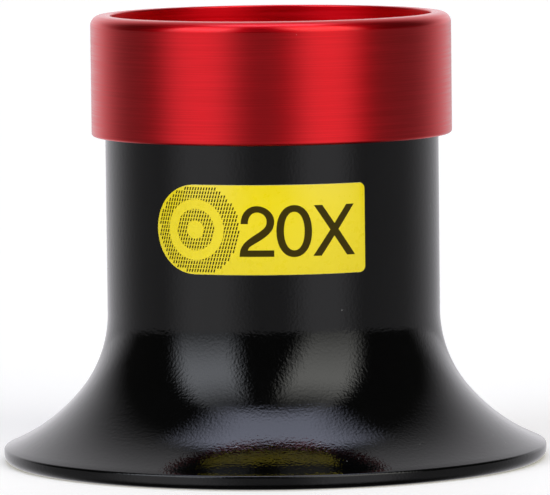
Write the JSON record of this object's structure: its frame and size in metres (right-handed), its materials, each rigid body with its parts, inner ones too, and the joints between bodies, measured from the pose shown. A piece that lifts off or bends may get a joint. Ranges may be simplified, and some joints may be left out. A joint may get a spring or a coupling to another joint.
{
  "type": "watchmaker's eye loupe",
  "caption": "Watchmaker's eye loupe: a black flared eye cup with a straight tube and a yellow magnification label, and a red screw ring that carries a lens cell.",
  "frame": {"origin": "centre of the brim's underside, in the plane the loupe stands on, on the optical axis", "axes": "+Z along the optical axis, from the eye towards the work, so the screw ring is up; -Y is the side that carries the label; +X is to the right of someone who reads the label"},
  "size_m": [0.04, 0.04, 0.0328],
  "materials": {
    "cup_black": "black satin lacquer with a fine grain",
    "ring_red": "red anodised, fine turning lines, satin",
    "cell_black": "black anodised, matt",
    "retainer_black": "black anodised, matt",
    "lens_glass": "polished optical glass with a faint coating",
    "label_yellow": "printed vinyl sticker, satin"
  },
  "bodies": {
    "eye_cup_body": {"eye_cup": "cup_black", "label": "label_yellow"},
    "lens_head": {"lens_cell": "cell_black", "objective_lens": "lens_glass", "lens_spacer": "cell_black", "eye_lens": "lens_glass", "cell_retainer": "retainer_black"},
    "screw_ring": {"lens_ring": "ring_red", "ring_retainer": "retainer_black"}
  },
  "joints": [
    {"name": "head_rise", "type": "slide", "parent": "eye_cup_body", "child": "lens_head", "axis": [0, 0, 1], "range_m": [0, 0.00226]},
    {"name": "ring_turn", "type": "hinge", "parent": "lens_head", "child": "screw_ring", "pos_m": [0, 0, 0.0275], "axis": [0, 0, 1], "range_deg": [0, 1080]}
  ],
  "couplings": [
    {"joint": "head_rise", "follows": "ring_turn", "m_per_rad": 0.00011937}
  ]
}
